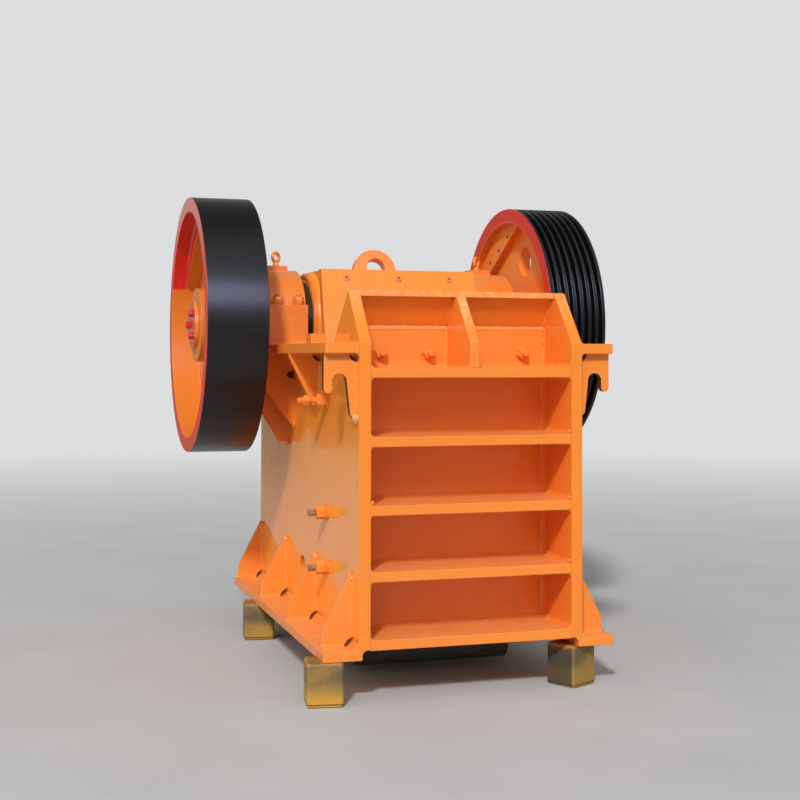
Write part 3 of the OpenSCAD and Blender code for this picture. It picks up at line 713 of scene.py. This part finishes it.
# Cheek bolts: three long bolts a side through the side plates hold the cheek plates, each with
# a sleeve and a nut in orange. The two lower ones end in rusty thread.
rusty = Look("rusty_thread")
rusty_mix = rusty.noise(90.0, 5.0, 0.7).step(0.35, 0.65)
rusty_look = rusty.set(color=rusty.mix(rusty_mix, (0.22, 0.085, 0.025), (0.42, 0.22, 0.07)),
                       rough=0.7, metal=0.15,
                       normal=rusty.bump(rusty.noise(300.0, 4.0), 0.0008, 0.8))
wall_out = 480
cheek_y, cheek_low, cheek_mid, cheek_high = 512, 293, 528, 1009
sleeve, nut_end = 7, 51


def cheek_places(*heights):
    return [((side * wall_out, cheek_y, z), (side, 0, 0), turn)
            for side in (-1, 1) for z, turn in heights]


short_bolt = Bolt().washer(0, 33, sleeve).nut(sleeve, 50, 44)
long_bolt = Bolt().washer(0, 33, sleeve).nut(sleeve, 50, 44).stud(nut_end, 14, 84, pitch=4.0)
long_bolt.nut(82, 42, 26, turn=0.7 - 2.2)
thread = Bolt().stud(nut_end, 14, 35, pitch=4.0)
repeated("cheek_bolts", "frame", orange,
         [(short_bolt.mesh("short_bolt"), cheek_places((cheek_low, 0.2), (cheek_mid, 1.2))),
          (long_bolt.mesh("long_bolt"), cheek_places((cheek_high, 2.2)))])
repeated("cheek_threads", "frame", rusty_look,
         [(thread.mesh("thread"), cheek_places((cheek_low, 0.0), (cheek_mid, 0.0)))])

# Tension rods and springs: two rods from the swing jaw through the rear wall, each with a coil
# spring of round wire that keeps the jaw on the toggle plate.
softened("tension_rods", 1.5, steel_look)
coiling = Jig("coil", {"Turns": "Float", "Coil radius": "Float", "Wire radius": "Float",
                       "Length": "Float", "Finish": "Material"})
helix = coiling.node("GeometryNodeCurveSpiral", {
    "Resolution": 36, "Rotations": coiling.given["Turns"], "Height": coiling.given["Length"],
    "Start Radius": coiling.given["Coil radius"], "End Radius": coiling.given["Coil radius"]})
wire_round = coiling.node("GeometryNodeCurvePrimitiveCircle", {
    "Resolution": 10, "Radius": coiling.given["Wire radius"]})
coiling.end(coiling.node("GeometryNodeCurveToMesh", {
    "Curve": helix, "Profile Curve": wire_round, "Fill Caps": True}))
coil = coiling.run(bpy.data.meshes.new("empty"), {
    "Turns": 4.6, "Coil radius": 50.0, "Wire radius": 7.5, "Length": 96.0, "Finish": steel_look})
rod_x, rod_z, spring_front = 325, 105, 1868
spring_places = [((x, spring_front, rod_z), (0, 1, 0), math.pi / 2) for x in (-rod_x, rod_x)]
spring = repeated("coil_springs", "frame", steel_look, [(coil, spring_places)],
                  sharp=38.0)
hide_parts("tension_springs")
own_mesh(spring)

# Gusset and ledge welds: fillet runs on both sides of each gusset, stopped at the cope holes,
# with lumps where the runs end. Beside the weld a cope hole leaves a dark opening.
side_welds = Shape()
copes = Shape()
plate, foot_top, ledge_low, ledge_top = 30, 39, 1211, 1253
cope_end = 37
cope_outline = ((33.5, 5.0), (31.5, 12.0), (25.5, 21.5), (21.5, 25.5), (12.0, 31.5), (5.0, 33.5),
                (8.5, 21.0), (12.8, 13.8), (20.5, 9.0))
notch_outline = ((4, -17), (20, -19), (34, -12), (42, -3), (36, 9), (20, 15), (5, 19))


def cope(corner, side, rise):
    """What is left open of a cope hole beside the weld that runs through its corner."""
    x, y, z = corner
    copes.rings([[(x + side * a, y + t, z + rise * b) for a, b in cope_outline] for t in (0, 24)])


for side in (-1, 1):
    wall = side * wall_out
    foot_in = side * 464
    out = (side, 0, 0)
    for k, y in enumerate((90, 688.3, 1286.7, 1885)):
        seed = 100 + 10 * k + 3 * side
        for face, way in ((y, -1), (y + plate, 1)):
            side_welds.weld((wall, face, 78), (wall, face, 312), out, (0, way, 0), 17, seed + way)
            side_welds.weld((wall + side * cope_end, face, foot_top),
                            (wall + side * 128, face, foot_top), (0, way, 0), (0, 0, 1), 13,
                            seed + way + 5)
            side_welds.drip((wall + side * 5, face + 3 * way, 308), (0, 0, 1), 10, 20, seed + way)
            side_welds.drip((wall + side * 40, face + 4 * way, 42), (side, 0, 0.2), 7, 12,
                            seed + way)
        side_welds.drip((wall + side * 8, y + plate / 2, 306), (0.15 * side, 0, 1), 13, 27,
                        seed + 7)
        side_welds.drip((wall + side * 129, y + 8, 44), (side, 0, -0.4), 8, 13, seed + 8)
        cope((wall, y + 3, foot_top), side, 1)
    for k, (y, low) in enumerate(((650, 985), (1150, 877), (1270, 787), (1545, 877))):
        seed = 200 + 10 * k + 3 * side
        notched = k == 1
        runs = ((low, 1086), (1136, 1174)) if notched else ((low, 1174),)
        for face, way in ((y, -1), (y + plate, 1)):
            for z0, z1 in runs:
                side_welds.weld((wall, face, z0 + 2), (wall, face, z1), out, (0, way, 0), 11,
                                seed + way)
            side_welds.weld((wall + side * cope_end, face, ledge_low),
                            (wall + side * 137, face, ledge_low), (0, way, 0), (0, 0, -1), 10,
                            seed + way + 5)
            side_welds.drip((wall + side * 5, face + 2 * way, low + 6), (0, 0, -1), 9, 26,
                            seed + way)
        cope((wall, y + 3, ledge_low), side, -1)
    copes.rings([[(wall + side * a, y, 1111 + b) for a, b in notch_outline]
                 for y in (1148.8, 1170)])
    side_welds.weld((wall, 2, ledge_low), (wall, 1688, ledge_low), out, (0, 0, -1), 14, 300 + side)
    side_welds.weld((side * wall_in, 1083, ledge_top), (side * 618, 1083, ledge_top), (0, -1, 0),
                    (0, 0, 1), 12, 310 + side)
    for face, way in ((35, -1), (65, 1)):
        side_welds.weld((wall, face, 972), (wall, face, 1174), out, (0, way, 0), 11, 340 + way)
        side_welds.weld((wall + side * cope_end, face, ledge_low),
                        (wall + side * 136, face, ledge_low), (0, way, 0), (0, 0, -1), 11,
                        350 + way)
        side_welds.drip((wall + side * 6, face, 945), (0, 0, -1), 10, 22, 360 + way)
    cope((wall, 38, ledge_low), side, -1)
    side_welds.weld((wall, 2, foot_top), (wall, 1913, foot_top), out, (0, 0, 1), 25, 320 + side,
                    bulge=0.05)
    side_welds.weld((foot_in, 1, foot_top), (foot_in, 1913, foot_top), (-side, 0, 0), (0, 0, -1),
                    22, 330 + side, bulge=-0.22)
    side_welds.weld((wall, 2, ledge_top), (wall, 180, ledge_top), out, (0, 0, 1), 8, 345 + side)
side_welds.piece("side_welds", "frame", orange_weld, 50.0)
putty = Look("bare_putty")
putty_color = putty.mix(putty.noise(80.0, 4.0).step(0.4, 0.65), (0.58, 0.36, 0.17),
                        (0.74, 0.30, 0.07))
putty_look = putty.set(color=putty_color, rough=0.7,
                       normal=putty.bump(putty.noise(120.0, 4.0), 0.002, 0.6))
smear = Shape()
smear.drip((-484, 34, 962), (0, 0.1, -1), 17, 34, 401)
smear.drip((-482, 60, 952), (0, 0.5, -1), 13, 26, 402)
smear.piece("hook_smear", "frame", putty_look, 50.0)
shade = Look("cope_shade")
shade_color = shade.mix(shade.noise(60.0, 4.0).step(0.4, 0.7), (0.035, 0.013, 0.006),
                        (0.13, 0.030, 0.010))
shade_look = shade.set(color=shade_color, rough=0.8,
                       normal=shade.bump(shade.noise(90.0), 0.001, 0.5))
copes.piece("cope_openings", "frame", shade_look, 30.0)

# Head plugs: three small steel plugs with a socket are screwed in near the top of the swing
# jaw's flat head, square to the tilted face, and sprayed over with it. Each socket is drawn as
# a dark disc of painted shade.
tilt = (0, -0.9685, 0.249)
plug_z, head_slope = 1572, 0.257
plug_y = 1034.3 - head_slope * (1611 - plug_z)
plug_places = [((x, plug_y, plug_z), tilt, 0.0) for x in (-262, -4, 250)]
plug = Bolt().turned([(16, -1), (16, 3), (14, 4.5), (4, 4.5)], 24)
repeated("head_plugs", "jaw", orange, [(plug.mesh("plug"), plug_places)])
# Painted shade: a dark disc in each plug stands for the shade inside its socket.
plug_socket_shade = Bolt().turned([(6, 2.0), (6, 5.0)], 16)
repeated("head_plug_holes", "jaw", dark_look,
         [(plug_socket_shade.mesh("plug_socket_shade"), plug_places)])

# Studio: a pale seamless floor that fades into pale surroundings, soft window light from above
# and in front, a warm fill from the left, and a low sun for the shadows.
floor_look = Look("floor")
floor_tone = floor_look.noise(1.5, 5.0).step(0.3, 0.7)
floor_material = floor_look.set(color=floor_look.mix(floor_tone, (0.465, 0.46, 0.46),
                                                     (0.495, 0.49, 0.49)), rough=0.8)
fade_start, fade_end = 2.6, 15.0
away = (floor_look.x * floor_look.x + floor_look.y * floor_look.y).power(0.5)
clear = floor_look.node("ShaderNodeBsdfTransparent", {})
painted = Val(floor_look, floor_look.shader.outputs[0])
faded = floor_look.node("ShaderNodeMixShader", {0: away.step(fade_start, fade_end), 1: painted,
                                                2: clear})
floor_look.put(floor_look.tree.nodes["Material Output"].inputs[0], faded)
half = 30
mesh = bpy.data.meshes.new("floor")
mesh.from_pydata([(-half, -half, 0), (half, -half, 0), (half, half, 0), (-half, half, 0)], [],
                 [(0, 1, 2, 3)])
mesh.materials.append(floor_material)
floor = bpy.data.objects.new("floor", mesh)
bpy.context.scene.collection.objects.link(floor)

world = bpy.data.worlds.new("world")
bpy.context.scene.world = world
world.use_nodes = True
world.node_tree.nodes.clear()
sky = Nodes(world.node_tree)
direction = sky.node("ShaderNodeTexCoord", {}, out="Generated")
rise = sky.node("ShaderNodeValToRGB", {0: sky.split(direction)[2]})
low_stop, high_stop = rise.out.node.color_ramp.elements
low_stop.color = (0.30, 0.325, 0.24, 1)
high_stop.position = 0.9
high_stop.color = (0.70, 0.73, 0.75, 1)
roof_side = sky.node("ShaderNodeVectorMath", {0: direction, 1: (0.0, 0.45, 0.893)}, out="Value",
                     operation="DOT_PRODUCT")
roof_dark = sky.node("ShaderNodeMapRange", {"Value": roof_side, "From Min": 0.6, "From Max": 0.95,
                                            "To Min": 1.0, "To Max": 0.2})
lit = sky.node("ShaderNodeBackground", {"Color": rise, "Strength": roof_dark})
seen = sky.node("ShaderNodeBackground", {"Color": (0.72, 0.73, 0.735), "Strength": 1.0})
by_camera = sky.node("ShaderNodeLightPath", {}, out="Is Camera Ray")
sky.node("ShaderNodeOutputWorld", {0: sky.node("ShaderNodeMixShader", {0: by_camera, 1: lit,
                                                                       2: seen})})


def lamp(name, place, target, size, power, tint):
    data = bpy.data.lights.new(name, "AREA")
    data.shape = "RECTANGLE"
    data.size, data.size_y = size
    data.energy = power
    data.color = tint
    made = bpy.data.objects.new(name, data)
    made.location = place
    made.rotation_euler = (Vector(target) - Vector(place)).to_track_quat("-Z", "Y").to_euler()
    bpy.context.scene.collection.objects.link(made)
    return made


window = {"place": (-3.0, -9.0, 6.6), "target": (0, 0, 1.2), "size": (11.0, 1.0)}
lamp("window_light", power=150, tint=(0.90, 0.94, 1.0), **window)
glow = lamp("window_glow", power=1500, tint=(0.58, 0.60, 1.0), **window)
glow.visible_diffuse = False
fill = lamp("side_fill", (-7.0, -2.0, 3.5), (-0.5, 0, 1.0), (4.0, 3.0), 68, (1.0, 0.93, 0.82))
fill.visible_glossy = False
data = bpy.data.lights.new("roof_light", "SUN")
data.energy = 2.42
data.angle = math.radians(6)
roof = bpy.data.objects.new("roof_light", data)
roof.rotation_euler = Vector((0.38, 0.74, -0.64)).to_track_quat("-Z", "Y").to_euler()
bpy.context.scene.collection.objects.link(roof)

# Camera: fitted to the photo by the corners of the frame and the wheels' rims. The photo is a
# cropped part of a larger picture, so the lens is shifted. Its values are in the photo's pixels.
photo_side, focal_length = 800, 1358
centre_x, centre_y = 397, 325
pan, pitch, roll = -17.12, 1.33, 0.14
camera_data = bpy.data.cameras.new("camera")
camera_data.sensor_width = 36.0
camera_data.lens = camera_data.sensor_width * focal_length / photo_side
camera_data.shift_x = (photo_side / 2 - centre_x) / photo_side
camera_data.shift_y = (centre_y - photo_side / 2) / photo_side
camera = bpy.data.objects.new("camera", camera_data)
camera.location = (-1.920, -6.1905, 1.373)
turned = (Matrix.Rotation(math.radians(pan), 4, "Z")
          @ Matrix.Rotation(math.radians(90 + pitch), 4, "X")
          @ Matrix.Rotation(math.radians(roll), 4, "Z"))
camera.rotation_euler = turned.to_euler()
bpy.context.scene.collection.objects.link(camera)
bpy.context.scene.camera = camera
bpy.context.scene.view_settings.view_transform = "Standard"
